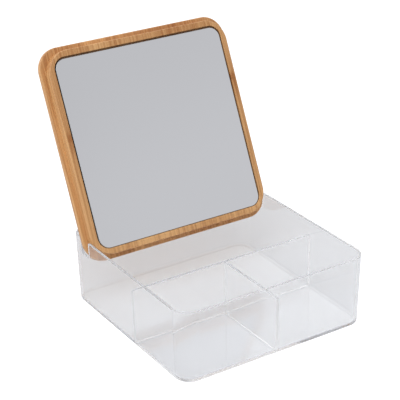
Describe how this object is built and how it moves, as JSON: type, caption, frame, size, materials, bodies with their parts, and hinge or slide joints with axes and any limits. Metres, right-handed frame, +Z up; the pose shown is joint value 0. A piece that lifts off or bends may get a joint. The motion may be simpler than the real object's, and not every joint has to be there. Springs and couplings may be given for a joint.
{
  "type": "vanity box with mirror",
  "caption": "Clear square tray with open compartments and a bamboo lid with an inset mirror that stands leaning back in notches in the side walls.",
  "frame": {"origin": "centre of the tray's flat base, in the plane it stands on", "axes": "+X to the right as the user faces the mirror, +Y to the back, where the lid leans, +Z up"},
  "size_m": [0.1934, 0.2384, 0.222],
  "materials": {
    "clear_plastic": "clear, moulded, glossy",
    "bamboo": "edge-glued bamboo staves, sanded, thin clear varnish",
    "mirror": "silvered float glass with a ground arris",
    "foam_tape": "white double-sided foam tape"
  },
  "bodies": {
    "tray": {"tray": "clear_plastic", "long_divider": "clear_plastic", "cross_divider": "clear_plastic"},
    "lid": {"lid_stave_1": "bamboo", "lid_stave_2": "bamboo", "lid_stave_3": "bamboo", "lid_stave_4": "bamboo", "lid_stave_5": "bamboo", "lid_stave_6": "bamboo", "lid_stave_7": "bamboo", "lid_stave_8": "bamboo", "lid_stave_9": "bamboo", "mirror_glass": "mirror", "mirror_tape": "foam_tape"}
  },
  "joints": [
    {"name": "lid_lift", "type": "slide", "parent": "tray", "child": "lid", "axis": [0, 0.4226, 0.9063], "range_m": [0, 0.06]}
  ]
}
